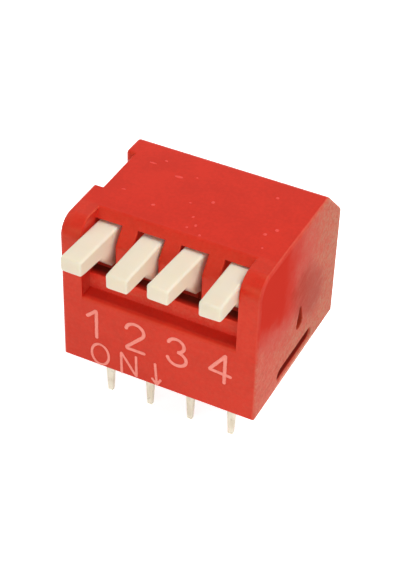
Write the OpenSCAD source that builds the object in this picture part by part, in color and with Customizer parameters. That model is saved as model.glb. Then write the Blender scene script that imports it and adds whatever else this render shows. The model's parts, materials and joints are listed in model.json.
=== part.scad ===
// Piano-key dip switch, four ways, through-hole pins on a 2.54 mm grid.
// Row frame: the origin is the centre of the pin field on the board plane.
// +X runs along the keys from 1 to 4, -Y is the key side and +Z is up.
// Every key is drawn up (off), and turns about +X to go down (on).

/* [Pin field] */

// Spacing of the ways, and so of the pins along a row
pitch = 2.54; // [2.00:0.01:3.10]

// Spacing between the front and the rear row of pins
row_span = 7.62; // [6.30:0.01:9.50]

// Length of each pin below the board plane
pin_below = 3.27; // [2.60:0.01:4.00]

// Width of a pin along the row
pin_w = 0.50; // [0.40:0.01:0.60]

// Thickness of the terminal metal
pin_t = 0.25; // [0.20:0.01:0.30]

/* [Housing] */

// Housing height above the board plane
body_h = 9.25; // [7.70:0.05:11.50]

// Housing front face ahead of the front pin row
front_reach = 1.69; // [1.50:0.01:2.20]

// Housing back face behind the rear pin row
back_reach = 1.34; // [1.20:0.01:2.00]

// Thickness of the moulded walls and roof
wall = 0.80; // [0.65:0.01:0.95]

// Flat taken off the top rear edge
back_chamfer = 2.00; // [1.00:0.05:2.60]

// Radius on the top front corner of the end walls
front_round = 1.10; // [0.50:0.05:1.40]

// Thickness of the end walls beside the outer keys' slots
cheek = 1.25; // [1.00:0.01:1.50]

// Depth of the key recess behind the front face
recess_depth = 0.90; // [0.60:0.01:1.20]

// Height of the recess floor below the housing top
recess_drop = 4.65; // [4.20:0.05:5.00]

// Radius on the front edge of the recess floor
ledge_round = 0.30; // [0.10:0.05:0.50]

/* [Keys] */

// Width of a key
key_w = 1.26; // [1.00:0.01:1.52]

// Play beside a key in its slot
key_gap = 0.15; // [0.08:0.01:0.20]

// Reach of a key's nose ahead of the front face
nose_reach = 2.20; // [1.20:0.05:3.00]

// Height of a key's nose
nose_h = 0.93; // [0.70:0.01:1.10]

// Angle a key turns from off to on
throw = 15; // [10:0.5:16]

// Radius of the trunnions a key turns on
trunnion_r = 0.50; // [0.35:0.01:0.60]

// Running clearance round a trunnion
bearing_gap = 0.04; // [0.02:0.01:0.08]

/* [Contacts] */

// Thickness of the base plate that carries the terminals
base_t = 2.66; // [2.20:0.01:3.00]

// Depth of the cradle that the contact strips line
cradle_depth = 0.36; // [0.25:0.01:0.50]

// Width of a contact strip
strip_w = 1.00; // [0.80:0.01:1.20]

// Gap between a wiper's contact ridges and the strips
wiper_gap = 0.03; // [0.02:0.01:0.05]

// Thickness of the wiper's spring metal
wiper_t = 0.14; // [0.10:0.01:0.16]

/* [Hidden] */

ways = 4;
eps = 0.05;
past = 1;

// housing planes: the recess ends flush with the outer slots, and the end walls start there
slot_w = key_w + 2 * key_gap;
recess_half = (ways - 1) / 2 * pitch + slot_w / 2;
half_l = recess_half + cheek;
front_y = -(row_span / 2 + front_reach);
back_y = row_span / 2 + back_reach;
recess_y = front_y + recess_depth;
ledge_z = body_h - recess_drop;
inner_x = half_l - wall;
inner_y0 = front_y + wall;
inner_y1 = back_y - wall;
roof_z = body_h - wall;

// the sloping face above the key slots
slope_run = 1.15;
slope_drop = 1.35;
slope_len = sqrt(slope_run * slope_run + slope_drop * slope_drop);

// pivot line of the keys, with a web left between neighbouring trunnion seats
pivot_y = recess_y + 3.00;
pivot_z = body_h - 3.05;
hub_r = 0.90;
seat_web = 0.30;
seat_play = 0.05;
seat_half = (pitch - seat_web) / 2;
trunnion_half = seat_half - seat_play;
bearing_r = trunnion_r + bearing_gap;

// slots in the cover, and the channels between the ribs inside it
slot_z0 = pivot_z - 0.60;
slot_z1 = body_h - 0.52;
pocket_y = recess_y + 1.85;
channel_w = slot_w + 0.04;
rib_t = pitch - channel_w;
rib_reach = 0.80;
part_gap = 0.05;

// outline of a key
nose_y = front_y - nose_reach;
nose_top = body_h - 0.42;
nose_draft = 0.08;
nose_flat = 0.40;
key_top = slot_z1 - 0.10;
crown_y = recess_y + 0.75;
nape_y = recess_y + 1.40;
nape_drop = 0.05;
chin_y = recess_y - 1.05;
chin_z = body_h - 1.60;
neck_y = recess_y + 0.10;
neck_z = slot_z0 + 0.85;
throat_y = recess_y + 0.90;

// base and its snap tabs
fit_gap = 0.03;
base_x = inner_x - fit_gap;
window_l = 4.60;
window_h = 0.85;
window_y = -0.28;
window_z = 0.69;
tab_play = 0.05;
tab_l = window_l - window_h - 2 * tab_play;
tab_foot = window_z - window_h / 2 + 0.08;
tab_h = 0.62;
tab_land = 0.28;
tab_proud = 0.25;
tab_root = 0.20;

// contacts, all curved about the pivot line
cradle_z = base_t - cradle_depth;
strip_r = pivot_z - cradle_z;
strip_run = sqrt(strip_r * strip_r - (pivot_z - base_t) * (pivot_z - base_t));
strip_lap = 0.35;
front_strip_end = pivot_y;
rear_strip_start = pivot_y + 0.55;
ridge_r = 0.11;
ridge_at = 9.5;
leaf_half = 12;
touch_r = strip_r - wiper_gap;
leaf_r = touch_r - 0.10;
leg_t = 0.80;
leg_w = 1.00;
leg_r = leaf_r - wiper_t - 0.12;
prong_l = 0.85;
wiper_w = 0.80;
split_w = 0.14;

// finishes
red = [0.78, 0.13, 0.09];
dark_red = [0.62, 0.09, 0.06];
cream = [0.93, 0.91, 0.84];
tin = [0.78, 0.76, 0.72];
gold = [0.86, 0.68, 0.32];

function way_x(n) = (n - (ways + 1) / 2) * pitch;
function edge_x(i) = (i - ways / 2) * pitch;
function slope_z(y) = body_h - slope_drop + (y - recess_y) * slope_drop / slope_run;

// a profile in Y and Z, drawn out along X
module along_x(x0, x1) {
    translate([x0, 0, 0])
        rotate([90, 0, 90])
            linear_extrude(height = x1 - x0)
                children();
}

// a profile in X and Z, drawn out along Y
module along_y(y0, y1) {
    translate([0, y1, 0])
        rotate([90, 0, 0])
            linear_extrude(height = y1 - y0)
                children();
}

// a slot outline with round ends
module stadium(length, height) {
    square([length - height, height], center = true);
    translate([-(length - height) / 2, 0])
        circle(d = height, $fn = 48);
    translate([(length - height) / 2, 0])
        circle(d = height, $fn = 48);
}

module at_pivot() {
    translate([0, pivot_y, pivot_z])
        children();
}

// ---- housing ----

module outer_profile() {
    difference() {
        polygon([
            [front_y, 0],
            [back_y, 0],
            [back_y, body_h - back_chamfer],
            [back_y - back_chamfer, body_h],
            [front_y, body_h]
        ]);
        translate([front_y - eps, body_h - front_round])
            square([front_round + eps, front_round + eps]);
    }
    translate([front_y + front_round, body_h - front_round])
        circle(r = front_round, $fn = 64);
}

module recess_profile() {
    difference() {
        translate([front_y - past, ledge_z - ledge_round])
            square([past + ledge_round, ledge_round + eps]);
        translate([front_y + ledge_round, ledge_z - ledge_round])
            circle(r = ledge_round, $fn = 48);
    }
    polygon([
        [front_y - past, ledge_z],
        [recess_y, ledge_z],
        [recess_y, body_h - slope_drop],
        [recess_y + slope_run, body_h],
        [recess_y + slope_run * (1 + past), body_h + slope_drop * past],
        [front_y - past, body_h + slope_drop * past]
    ]);
}

// the hollow keeps one wall thickness behind every outer face
module cavity_profile() {
    lean = wall * slope_len;
    upper_y = recess_y + wall;
    corner_z = body_h - slope_drop + (wall * slope_drop - lean) / slope_run;
    corner_y = recess_y + (lean + (roof_z - body_h + slope_drop) * slope_run) / slope_drop;
    back_sum = back_y + body_h - back_chamfer - wall * sqrt(2);
    polygon([
        [inner_y0, -past],
        [inner_y0, ledge_z - wall],
        [upper_y, ledge_z - wall],
        [upper_y, corner_z],
        [corner_y, roof_z],
        [back_sum - roof_z, roof_z],
        [inner_y1, back_sum - inner_y1],
        [inner_y1, -past]
    ]);
}

// partitions between the ways, down to the pivot line, that hold the keys' trunnions from above
module cover_rib_profile() {
    polygon([
        [recess_y + wall / 2, pivot_z + part_gap / 2],
        [recess_y + wall / 2, slope_z(recess_y) + 0.10],
        [recess_y + slope_run + eps, body_h - wall / 2],
        [pivot_y + rib_reach, body_h - wall / 2],
        [pivot_y + rib_reach, pivot_z + part_gap / 2]
    ]);
}

module cover_ribs() {
    limit = half_l - wall / 2;
    for (i = [0 : ways])
        along_x(max(edge_x(i) - rib_t / 2, -limit), min(edge_x(i) + rib_t / 2, limit))
            cover_rib_profile();
}

module key_slots() {
    for (n = [1 : ways])
        translate([way_x(n) - slot_w / 2, front_y, slot_z0])
            cube([slot_w, pocket_y - front_y, slot_z1 - slot_z0]);
}

module bearings() {
    for (n = [1 : ways])
        translate([way_x(n), 0, 0])
            along_x(-seat_half, seat_half)
                translate([pivot_y, pivot_z])
                    circle(r = bearing_r, $fn = 48);
}

// flat-bottomed notch in the end wall beside way 1
module way_one_notch() {
    notch_w = 3.50;
    notch_depth = 0.50;
    notch_foot = 2.60;
    translate([-half_l - past, -notch_w / 2, notch_foot])
        cube([past + notch_depth, notch_w, body_h]);
}

module snap_windows() {
    for (side = [-1, 1])
        translate([side * half_l, window_y, window_z])
            rotate([90, 0, 90])
                linear_extrude(height = 3 * wall, center = true)
                    stadium(window_l, window_h);
}

// drop-shaped pocket where the moulding gate was trimmed: two circles and their common tangents
module gate_profile() {
    drop_r = 0.42;
    tail_r = 0.13;
    tail_l = 1.02;
    lean = asin((drop_r - tail_r) / tail_l);
    circle(r = drop_r, $fn = 48);
    polygon([
        [-drop_r * cos(lean), drop_r * sin(lean)],
        [drop_r * cos(lean), drop_r * sin(lean)],
        [tail_r * cos(lean), tail_l + tail_r * sin(lean)],
        [-tail_r * cos(lean), tail_l + tail_r * sin(lean)]
    ]);
    translate([0, tail_l])
        circle(r = tail_r, $fn = 32);
}

module gate_mark() {
    gate_y = 0.12;
    gate_z = 2.68;
    gate_depth = 0.30;
    translate([half_l - gate_depth, gate_y, gate_z])
        rotate([90, 0, 90])
            linear_extrude(height = past)
                gate_profile();
}

module housing() {
    color(red)
        difference() {
            union() {
                difference() {
                    along_x(-half_l, half_l)
                        outer_profile();
                    along_x(-inner_x, inner_x)
                        cavity_profile();
                    along_x(-recess_half, recess_half)
                        recess_profile();
                }
                cover_ribs();
            }
            key_slots();
            bearings();
            way_one_notch();
            snap_windows();
            gate_mark();
        }
}

// ---- terminals ----

// a strip lies flush in the base: flat beside its pin, then curved about the pivot line
module strip_profile(y_pin, y_end) {
    side = sign(y_pin - pivot_y);
    y_far = y_pin + side * pin_t / 2;
    y_arc = pivot_y + side * (strip_run + strip_lap);
    difference() {
        union() {
            translate([min(y_far, pivot_y + side * strip_run), base_t - pin_t])
                square([abs(y_far - pivot_y) - strip_run, pin_t]);
            intersection() {
                translate([pivot_y, pivot_z])
                    circle(r = strip_r + pin_t, $fn = 180);
                translate([min(y_end, y_arc), 0])
                    square([abs(y_end - y_arc), base_t]);
            }
        }
        translate([pivot_y, pivot_z])
            circle(r = strip_r, $fn = 180);
    }
}

module pin_profile() {
    tip_w = 0.62 * pin_w;
    tip_l = 1.60;
    polygon([
        [-pin_w / 2, base_t - pin_t / 2],
        [pin_w / 2, base_t - pin_t / 2],
        [pin_w / 2, -pin_below + tip_l],
        [tip_w / 2, -pin_below],
        [-tip_w / 2, -pin_below],
        [-pin_w / 2, -pin_below + tip_l]
    ]);
}

module terminal(y_pin, y_end) {
    along_x(-strip_w / 2, strip_w / 2)
        strip_profile(y_pin, y_end);
    along_y(y_pin - pin_t / 2, y_pin + pin_t / 2)
        pin_profile();
}

module front_terminal(n) {
    color(tin)
        translate([way_x(n), 0, 0])
            terminal(-row_span / 2, front_strip_end);
}

module rear_terminal(n) {
    color(tin)
        translate([way_x(n), 0, 0])
            terminal(row_span / 2, rear_strip_start);
}

// ---- base ----

module base_rib_profile() {
    top_z = pivot_z - part_gap / 2;
    root_z = base_t - cradle_depth;
    polygon([
        [pivot_y - 2 * hub_r, root_z],
        [pivot_y - hub_r, top_z],
        [pivot_y + hub_r, top_z],
        [pivot_y + 2 * hub_r, root_z]
    ]);
}

module base_ribs() {
    for (i = [0 : ways])
        along_x(max(edge_x(i) - rib_t / 2, -base_x), min(edge_x(i) + rib_t / 2, base_x))
            base_rib_profile();
}

module cradles() {
    for (n = [1 : ways])
        translate([way_x(n), 0, 0])
            along_x(-channel_w / 2, channel_w / 2)
                translate([pivot_y, pivot_z])
                    circle(r = strip_r, $fn = 180);
}

// ramped on top to spring past the wall, square below to hold
module snap_tab() {
    along_y(window_y - tab_l / 2, window_y + tab_l / 2)
        polygon([
            [base_x - tab_root, tab_foot],
            [base_x + tab_proud, tab_foot],
            [base_x + tab_proud, tab_foot + tab_land],
            [base_x, tab_foot + tab_h],
            [base_x - tab_root, tab_foot + tab_h]
        ]);
}

module base() {
    color(dark_red)
        difference() {
            union() {
                difference() {
                    translate([-base_x, inner_y0 + fit_gap, 0])
                        cube([2 * base_x, inner_y1 - inner_y0 - 2 * fit_gap, base_t]);
                    cradles();
                }
                base_ribs();
                snap_tab();
                mirror([1, 0, 0])
                    snap_tab();
            }
            bearings();
            for (n = [1 : ways]) {
                front_terminal(n);
                rear_terminal(n);
            }
        }
}

// ---- keys ----

function in_hub(angle) = [pivot_y + 0.92 * hub_r * cos(angle), pivot_z + 0.92 * hub_r * sin(angle)];

module key_profile() {
    polygon([
        [nose_y, nose_top],
        [nose_y, nose_top - nose_h],
        [nose_y + nose_flat, nose_top - nose_h - nose_draft],
        [chin_y, chin_z],
        [neck_y, neck_z],
        [throat_y, pivot_z],
        in_hub(-115),
        in_hub(60),
        [nape_y, key_top - nape_drop],
        [crown_y, key_top]
    ]);
    translate([pivot_y, pivot_z])
        circle(r = hub_r, $fn = 64);
}

// the leg hangs half the throw forward when off, and half the throw back when on
module in_leg_frame() {
    at_pivot()
        rotate([-throw / 2, 0, 0])
            children();
}

module key(n) {
    color(cream)
        translate([way_x(n), 0, 0]) {
            along_x(-key_w / 2, key_w / 2)
                key_profile();
            along_x(-trunnion_half, trunnion_half)
                translate([pivot_y, pivot_z])
                    circle(r = trunnion_r, $fn = 48);
            in_leg_frame()
                translate([-leg_w / 2, -leg_t / 2, -leg_r])
                    cube([leg_w, leg_t, leg_r - hub_r / 2]);
        }
}

// ---- wipers ----

module leaf_profile() {
    reach = 2 * leaf_r * tan(leaf_half);
    intersection() {
        difference() {
            circle(r = leaf_r, $fn = 180);
            circle(r = leaf_r - wiper_t, $fn = 180);
        }
        polygon([
            [0, 0],
            [-reach, -2 * leaf_r],
            [reach, -2 * leaf_r]
        ]);
    }
}

module wiper_profile() {
    leaf_profile();
    for (side = [-1, 1]) {
        translate([side * (leg_t / 2 + wiper_t / 2) - wiper_t / 2, -leaf_r + wiper_t / 2])
            square([wiper_t, prong_l]);
        rotate([0, 0, side * ridge_at])
            translate([0, -(touch_r - ridge_r)])
                circle(r = ridge_r, $fn = 32);
    }
}

// each end of the leaf is split, so that it touches its strip at two places
module wiper_split(side) {
    inner = leg_t / 2 + wiper_t;
    translate([-split_w / 2, side > 0 ? inner : -inner - leg_t, -leaf_r - past])
        cube([split_w, leg_t, past + prong_l / 2]);
}

module wiper(n) {
    color(gold)
        translate([way_x(n), 0, 0])
            in_leg_frame()
                difference() {
                    along_x(-wiper_w / 2, wiper_w / 2)
                        wiper_profile();
                    wiper_split(-1);
                    wiper_split(1);
                }
}

housing();
base();
key(1);  // key_1
key(2);  // key_2
key(3);  // key_3
key(4);  // key_4
wiper(1);  // wiper_1
wiper(2);  // wiper_2
wiper(3);  // wiper_3
wiper(4);  // wiper_4
front_terminal(1);  // front_terminal_1
front_terminal(2);  // front_terminal_2
front_terminal(3);  // front_terminal_3
front_terminal(4);  // front_terminal_4
rear_terminal(1);  // rear_terminal_1
rear_terminal(2);  // rear_terminal_2
rear_terminal(3);  // rear_terminal_3
rear_terminal(4);  // rear_terminal_4
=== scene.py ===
"""Looks for a four-way piano-key dip switch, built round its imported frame.

The frame gives every place: the cover's box, the keys' pivots and the pins' boxes. The
moulded pieces are rounded copies of the frame's own nodes, and the printed legend, the
specks on the roof and the studio are worked out here. Lengths are metres, apart from the
values whose names end in _mm, which describe one small piece at its own scale.
"""
import json
import logging
import math
from dataclasses import dataclass, field
from enum import Enum
from functools import reduce

import bmesh
import bpy
import numpy as np
from bpy.types import ID, Material, Mesh, Node, Object
from bpy.types import NodeSocket as Socket
from mathutils import Matrix, Vector
from numpy.typing import NDArray


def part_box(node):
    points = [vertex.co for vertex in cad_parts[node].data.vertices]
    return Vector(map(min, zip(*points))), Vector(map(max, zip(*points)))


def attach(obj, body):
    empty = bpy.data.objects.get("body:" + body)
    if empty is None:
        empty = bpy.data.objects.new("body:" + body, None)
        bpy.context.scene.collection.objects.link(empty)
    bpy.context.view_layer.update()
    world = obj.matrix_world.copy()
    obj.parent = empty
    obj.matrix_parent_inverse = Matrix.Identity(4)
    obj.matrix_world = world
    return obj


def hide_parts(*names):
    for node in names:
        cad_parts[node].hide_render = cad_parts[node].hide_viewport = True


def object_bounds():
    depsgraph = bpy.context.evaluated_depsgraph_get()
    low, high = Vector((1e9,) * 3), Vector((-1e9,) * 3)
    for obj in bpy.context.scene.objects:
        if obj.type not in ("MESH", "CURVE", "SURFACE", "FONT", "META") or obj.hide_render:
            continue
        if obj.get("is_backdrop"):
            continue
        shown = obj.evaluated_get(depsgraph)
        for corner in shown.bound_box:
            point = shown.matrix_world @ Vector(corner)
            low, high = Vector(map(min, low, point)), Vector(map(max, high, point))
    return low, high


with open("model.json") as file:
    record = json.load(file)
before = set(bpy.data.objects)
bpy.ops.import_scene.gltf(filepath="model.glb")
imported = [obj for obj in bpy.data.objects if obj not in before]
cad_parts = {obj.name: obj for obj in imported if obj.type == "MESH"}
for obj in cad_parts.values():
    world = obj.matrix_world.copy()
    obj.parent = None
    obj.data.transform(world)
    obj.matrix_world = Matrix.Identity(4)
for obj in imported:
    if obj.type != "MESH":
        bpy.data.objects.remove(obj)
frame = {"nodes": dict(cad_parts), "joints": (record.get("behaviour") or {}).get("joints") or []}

Points = NDArray[np.float64]
Faces = NDArray[np.int64]
Pair = tuple[float, float]
Triple = tuple[float, float, float]
Value = Socket | float | Triple
Four = tuple[float, float, float, float]

MM = 0.001
CAD_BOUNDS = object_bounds()
LOG = logging.getLogger("dip_switch")


# ---------------------------------------------------------------- named choices


class Slot(Enum):
    """Material slots that the record names."""

    COVER = "housing_red"
    BASE = "base_red"
    KEY = "key_white"
    TERMINAL = "terminal_tin"
    WIPER = "wiper_gold"
    LEGEND = "legend_ink"


class Way(Enum):
    """The four ways of the switch, in order along +X."""

    ONE = 1
    TWO = 2
    THREE = 3
    FOUR = 4

    def named(self, stem: str) -> str:
        """The frame's name for this way's own body or node.

        Args:
            stem: The name without its number.

        Returns:
            The name.
        """
        return f"{stem}_{self.value}"


# ---------------------------------------------------------------- shader graphs

X: Triple = (1.0, 0.0, 0.0)
Y: Triple = (0.0, 1.0, 0.0)
Z: Triple = (0.0, 0.0, 1.0)
# This heading stands for the distance from the middle plane, X = 0, both ways.
OUT: Triple = (0.0, 0.0, 0.0)


@dataclass(frozen=True)
class Side:
    """One soft side of a region: absent at one place along a heading, and full at another."""

    heading: Triple
    none_mm: float
    full_mm: float


Region = tuple[Side, ...]


@dataclass(frozen=True)
class Pattern:
    """A smooth noise, and the stretch of it, low to high, that is drawn onto start to end."""

    size_mm: float
    detail: float
    roughness: float
    low: float
    high: float
    start: float = 0.0
    end: float = 1.0


class Graph:
    """The nodes of a material or a world, with short ways to add and join them."""

    def __init__(self, owner: ID, output: str = "OutputMaterial") -> None:
        """Clears the owner's nodes and adds its output.

        Args:
            owner: A new material or world.
            output: The kind of its output node.
        """
        owner.use_nodes = True
        self.tree = owner.node_tree
        self.tree.nodes.clear()
        self.output = self.add(output)

    def fill(self, node: Node, inputs: dict[str | int, Value]) -> None:
        """Gives a node its inputs.

        Args:
            node: The node.
            inputs: Each input's value, or the socket that gives it, by name or number.
        """
        for key, value in inputs.items():
            socket = node.inputs[key]
            if isinstance(value, Socket):
                self.tree.links.new(value, socket)
            elif socket.type == "RGBA":
                socket.default_value = (*value, 1.0)
            else:
                socket.default_value = value

    def add(self, kind: str, inputs: dict[str | int, Value] | None = None) -> Node:
        """Adds a node.

        Args:
            kind: Its type, without ShaderNode in front.
            inputs: Its inputs, as fill takes them.

        Returns:
            The node.
        """
        node = self.tree.nodes.new(f"ShaderNode{kind}")
        self.fill(node, inputs or {})
        return node

    def math(self, kind: str, first: Socket | float, second: Socket | float = 0.0) -> Socket:
        """One step of arithmetic.

        Args:
            kind: The Math node's operation.
            first: A number or a socket.
            second: A number or a socket.

        Returns:
            The result.
        """
        node = self.add("Math", {0: first, 1: second})
        node.operation = kind
        return node.outputs[0]

    def times(self, *factors: Socket | float) -> Socket:
        """Multiplies several values.

        Args:
            factors: The values, as numbers or sockets.

        Returns:
            Their product.
        """
        return reduce(lambda product, factor: self.math("MULTIPLY", product, factor), factors)

    def rest(self, share: Socket) -> Socket:
        """What a share leaves of 1.

        Args:
            share: The share, 0 to 1.

        Returns:
            1 less the share.
        """
        return self.math("SUBTRACT", 1.0, share)

    def ramp(self, value: Socket, first: float, last: float,
             start: float = 0.0, end: float = 1.0) -> Socket:
        """Maps a value's stretch from first to last onto start to end, held at both ends.

        Args:
            value: The value to map.
            first: The value that gives start, which may be above last.
            last: The value that gives end.
            start: The result at first and before it.
            end: The result at last and past it.

        Returns:
            The mapped value.
        """
        node = self.add("MapRange", {"Value": value, "From Min": first, "From Max": last,
                                     "To Min": start, "To Max": end})
        node.interpolation_type = "SMOOTHSTEP"
        return node.outputs["Result"]

    def blend(self, share: Socket, first: Socket | Triple, second: Socket | Triple) -> Socket:
        """Mixes two colours.

        Args:
            share: 0 for all of the first colour and 1 for all of the second.
            first: A colour or a socket that gives one.
            second: A colour or a socket that gives one.

        Returns:
            The mixed colour.
        """
        node = self.add("Mix")
        node.data_type = "RGBA"
        self.fill(node, {0: share, 6: first, 7: second})
        return node.outputs[2]

    def seen_directly(self) -> Socket:
        """Tells the rays that show a thing from the rays that light others.

        Returns:
            1 for camera, glossy and transmitted rays, and 0 for the rest.
        """
        rays = self.add("LightPath").outputs
        shown = self.math("MAXIMUM", rays["Is Camera Ray"], rays["Is Glossy Ray"])
        return self.math("MAXIMUM", shown, rays["Is Transmission Ray"])


class Surface(Graph):
    """A material with a Principled shader, patterned over the object's coordinates."""

    def __init__(self, name: str) -> None:
        """Starts the material.

        Args:
            name: The material's name.
        """
        self.material = bpy.data.materials.new(name)
        super().__init__(self.material)
        self.shader = self.add("BsdfPrincipled")
        self.fill(self.output, {"Surface": self.shader.outputs["BSDF"]})
        self.place = self.add("TexCoord").outputs["Object"]
        self.levels: dict[Triple, Socket] = {}

    def level(self, heading: Triple) -> Socket:
        """A weighted sum of the object coordinates, made once for each heading.

        Args:
            heading: The share of X, Y and Z, or OUT.

        Returns:
            The sum, in millimetres.
        """
        if heading == OUT and OUT not in self.levels:
            self.levels[OUT] = self.math("ABSOLUTE", self.level(X))
        if heading not in self.levels:
            node = self.add("VectorMath", {0: self.place, 1: tuple(w / MM for w in heading)})
            node.operation = "DOT_PRODUCT"
            self.levels[heading] = node.outputs["Value"]
        return self.levels[heading]

    def side(self, side: Side, drift: Socket | float = 0.0) -> Socket:
        """How far a place is past a soft side.

        Args:
            side: The side.
            drift: Millimetres added to the distance, by which the side wanders.

        Returns:
            0 to 1.
        """
        distance = self.math("ADD", self.level(side.heading), drift)
        return self.ramp(distance, side.none_mm, side.full_mm)

    def region(self, *sides: Side) -> Socket:
        """The place that several soft sides share, as their product.

        Args:
            sides: The sides.

        Returns:
            0 to 1.
        """
        return self.times(*(self.side(side) for side in sides))

    def noise(self, size_mm: float | Triple, detail: float, roughness: float = 0.5) -> Socket:
        """Smooth noise at a real size.

        Args:
            size_mm: Size of one lump, or its size along X, Y and Z, in millimetres.
            detail: How many finer layers are added.
            roughness: How strong the finer layers are.

        Returns:
            The noise, about 0 to 1.
        """
        sizes = size_mm if isinstance(size_mm, tuple) else (size_mm,) * 3
        scale = tuple(1 / (s * MM) for s in sizes)
        mapped = self.add("Mapping", {"Vector": self.place, "Scale": scale}).outputs["Vector"]
        node = self.add("TexNoise", {"Vector": mapped, "Scale": 1.0, "Detail": detail,
                                     "Roughness": roughness})
        return node.outputs["Fac"]

    def pattern(self, pattern: Pattern) -> Socket:
        """Draws a pattern.

        Args:
            pattern: Its noise and its stretch.

        Returns:
            The mapped noise.
        """
        value = self.noise(pattern.size_mm, pattern.detail, pattern.roughness)
        return self.ramp(value, pattern.low, pattern.high, pattern.start, pattern.end)

    def streaks(self, length_mm: float, width_mm: float) -> Socket:
        """Noise drawn out along the rubbing direction in the Y-Z plane.

        Args:
            length_mm: Length of one streak.
            width_mm: Width of one streak.

        Returns:
            The noise, about 0 to 1.
        """
        y, z = RUBBED_ALONG
        along = self.level((0.0, y / length_mm, z / length_mm))
        aside = self.level((0.0, -z / width_mm, y / width_mm))
        turned = self.add("CombineXYZ", {0: along, 1: aside}).outputs[0]
        node = self.add("TexNoise", {"Vector": turned, "Scale": 1.0, "Detail": STREAK_DETAIL})
        return node.outputs["Fac"]

    def bump(self, height: Socket, depth_mm: float, below: Socket | None = None) -> Socket:
        """A bumped normal.

        Args:
            height: The height pattern, 0 to 1.
            depth_mm: How far the pattern stands out, in millimetres.
            below: A normal that this bump is laid over.

        Returns:
            The bumped normal.
        """
        node = self.add("Bump", {"Height": height, "Strength": 1.0, "Distance": depth_mm * MM})
        if below is not None:
            self.fill(node, {"Normal": below})
        return node.outputs["Normal"]

    def moulded(self, sink_depth_mm: float, grain_mm: float, grain_depth_mm: float) -> Socket:
        """The normal of a moulding: a spark-eroded grain over faint sink.

        Args:
            sink_depth_mm: Depth of the sink.
            grain_mm: Size of one grain.
            grain_depth_mm: Depth of the grain.

        Returns:
            The bumped normal.
        """
        sunk = self.bump(self.noise(*SINK), sink_depth_mm)
        return self.bump(self.noise(grain_mm, *GRAIN), grain_depth_mm, sunk)


# ---------------------------------------------------------------- finishes

RUBBED_ALONG = (0.92, 0.38)
STREAK_DETAIL = 3.0
SINK: Pair = (3.4, 1.0)
GRAIN: Pair = (3.0, 0.6)
MID_GREY = 0.5
# Painted glow: emission that lights the faces inside the red parts, standing for light that comes through
# their thin walls.
PAINTED_GLOW_RED: Triple = (1.0, 0.075, 0.040)
PAINTED_GLOW_STRENGTH = 0.10


@dataclass(frozen=True)
class Moulded:
    """Moulded thermoplastic: a mottled colour, a fine spark-eroded grain and faint sink.

    Each painted light is a tint past one soft side: painted light or painted shade for how light
    falls there. Glow is the share of light that passes under the skin, and through is a painted
    glow: emission that stands for light coming through thin walls from outside.
    """

    name: str
    colour: Triple
    pale: Triple
    dark: Triple
    roughness: float
    grain_depth_mm: float
    specular: float
    glow: float = 0.0
    glow_mm: float = 0.70
    glow_reach: Triple = (1.0, 0.75, 0.5)
    through: float = 0.0
    through_mm: Pair = (0.3, 1.0)
    grain_mm: float = 0.05
    sink_depth_mm: float = 0.006
    cloud: Pattern = Pattern(2.6, 3.0, 0.55, 0.30, 0.70)
    fleck: Pattern = Pattern(0.11, 2.0, 0.6, 0.66, 0.80, 0.0, 0.45)
    wear: Pattern = Pattern(0.9, 4.0, 0.6, 0.25, 0.75, -0.05, 0.07)
    painted_light: tuple[tuple[Side, Triple], ...] = ()

    def build(self) -> Material:
        """Makes the material.

        Returns:
            The finished material.
        """
        g = Surface(self.name)
        tint = g.blend(g.pattern(self.cloud), self.dark, self.colour)
        tint = g.blend(g.pattern(self.fleck), tint, self.pale)
        # Painted light and shade, each laid on past its soft side.
        for side, colour in self.painted_light:
            tint = g.blend(g.side(side), tint, colour)
        g.fill(g.shader, {
            "Base Color": tint,
            "Roughness": g.math("ADD", g.pattern(self.wear), self.roughness),
            "Specular IOR Level": self.specular,
            "Normal": g.moulded(self.sink_depth_mm, self.grain_mm, self.grain_depth_mm),
        })
        if self.glow:
            g.fill(g.shader, {"Subsurface Weight": self.glow, "Subsurface Radius": self.glow_reach,
                              "Subsurface Scale": self.glow_mm * MM})
        # Painted glow, rising from nothing 0.3 mm above the origin to full at 1 mm.
        if self.through:
            lit = g.ramp(g.level(Z), *self.through_mm, 0.0, self.through)
            g.fill(g.shader, {"Emission Strength": lit, "Emission Color": PAINTED_GLOW_RED})
        return g.material


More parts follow.
